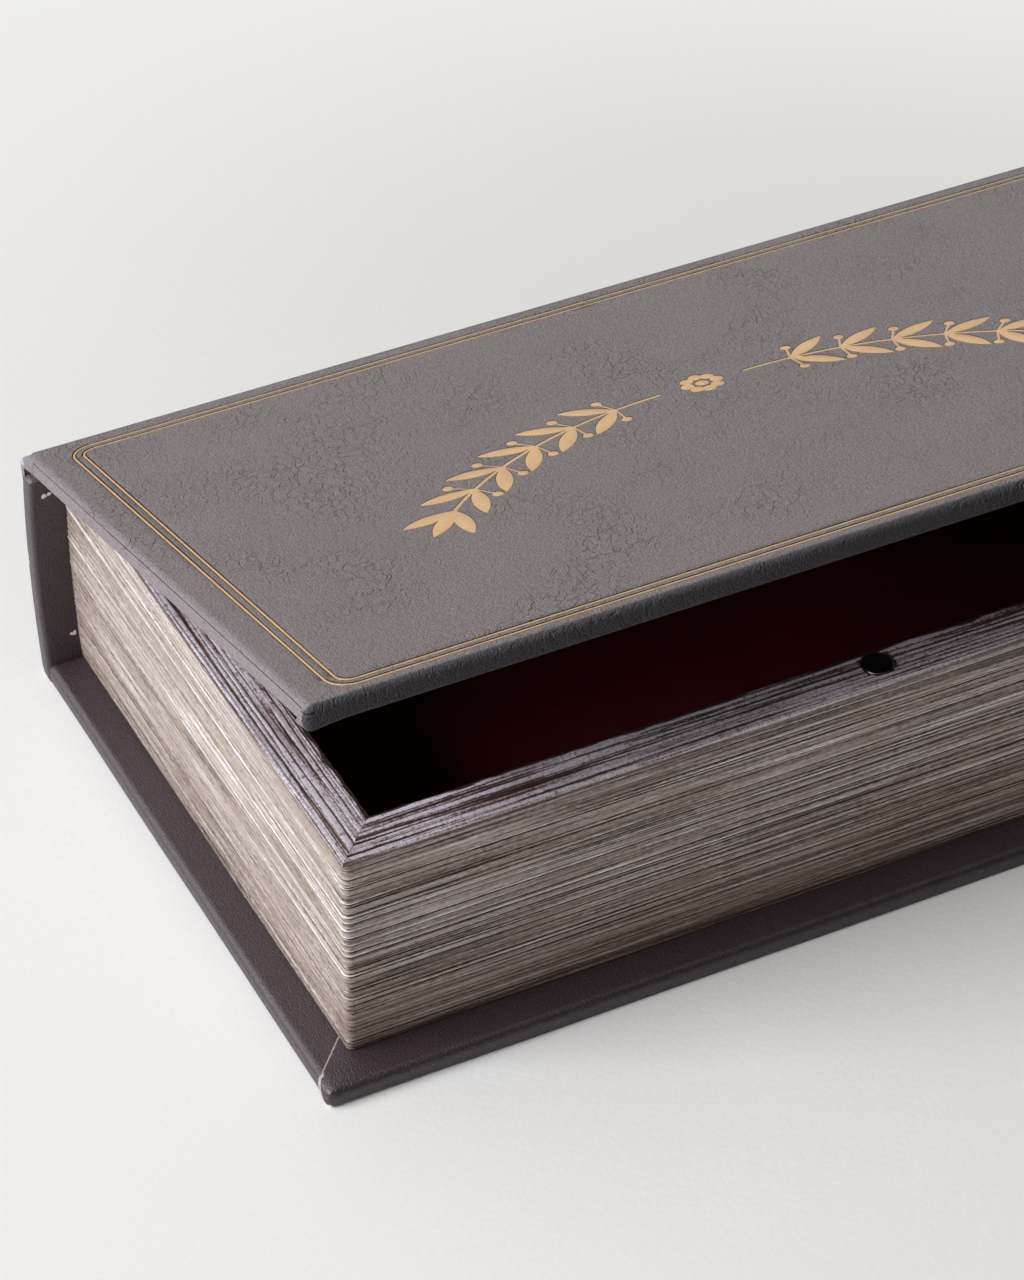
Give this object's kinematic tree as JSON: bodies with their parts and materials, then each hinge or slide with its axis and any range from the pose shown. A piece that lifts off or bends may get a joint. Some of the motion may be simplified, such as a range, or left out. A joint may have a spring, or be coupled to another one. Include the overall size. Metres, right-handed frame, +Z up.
{
  "type": "faux-book keepsake box",
  "caption": "Keepsake box in the form of a hardback book: hollow tray with embossed page edges, leatherette case, hinged front cover with magnetic closure and gold foil rules.",
  "frame": {"origin": "on the surface that the box stands on, under the middle of the tray", "axes": "+X from the spine towards the page edge at the front, +Y from the book's tail towards its head, +Z up"},
  "size_m": [0.1725, 0.2904, 0.1104],
  "materials": {
    "leatherette": "fine pebbled grain, satin",
    "turned_in": "smooth, satin",
    "board": "raw grey board",
    "fibreboard": "raw medium density fibreboard",
    "page_edge": "embossed and printed page edges",
    "rim": "embossed, satin",
    "lining": "matt velvet paper",
    "magnet": "dark nickel, glossy",
    "steel": "plain",
    "gold_foil": "satin foil"
  },
  "bodies": {
    "case": {"case_leather": "leatherette", "back_board": "board", "back_lining": "turned_in", "spine_board": "board", "spine_lining": "turned_in", "tray_floor": "board", "fore_edge_wall": "fibreboard", "spine_side_wall": "fibreboard", "head_wall": "fibreboard", "tail_wall": "fibreboard", "page_edge_wrap": "page_edge", "fore_edge_rim": "rim", "spine_side_rim": "rim", "head_rim": "rim", "tail_rim": "rim", "floor_lining": "lining", "fore_edge_lining": "lining", "spine_side_lining": "lining", "head_lining": "lining", "tail_lining": "lining", "rim_magnet": "magnet"},
    "front_cover": {"front_leather": "leatherette", "front_board": "board", "front_pastedown": "turned_in", "front_keeper": "steel", "gold_rule_outer": "gold_foil", "gold_rule_inner": "gold_foil", "gold_rosette": "gold_foil", "gold_sprig_head": "gold_foil", "gold_sprig_tail": "gold_foil"}
  },
  "joints": [
    {"name": "front_cover_hinge", "type": "hinge", "parent": "case", "child": "front_cover", "pos_m": [-0.08065, 0, 0.0642], "axis": [0, -1, 0], "range_deg": [-15.2, 184.8]}
  ]
}
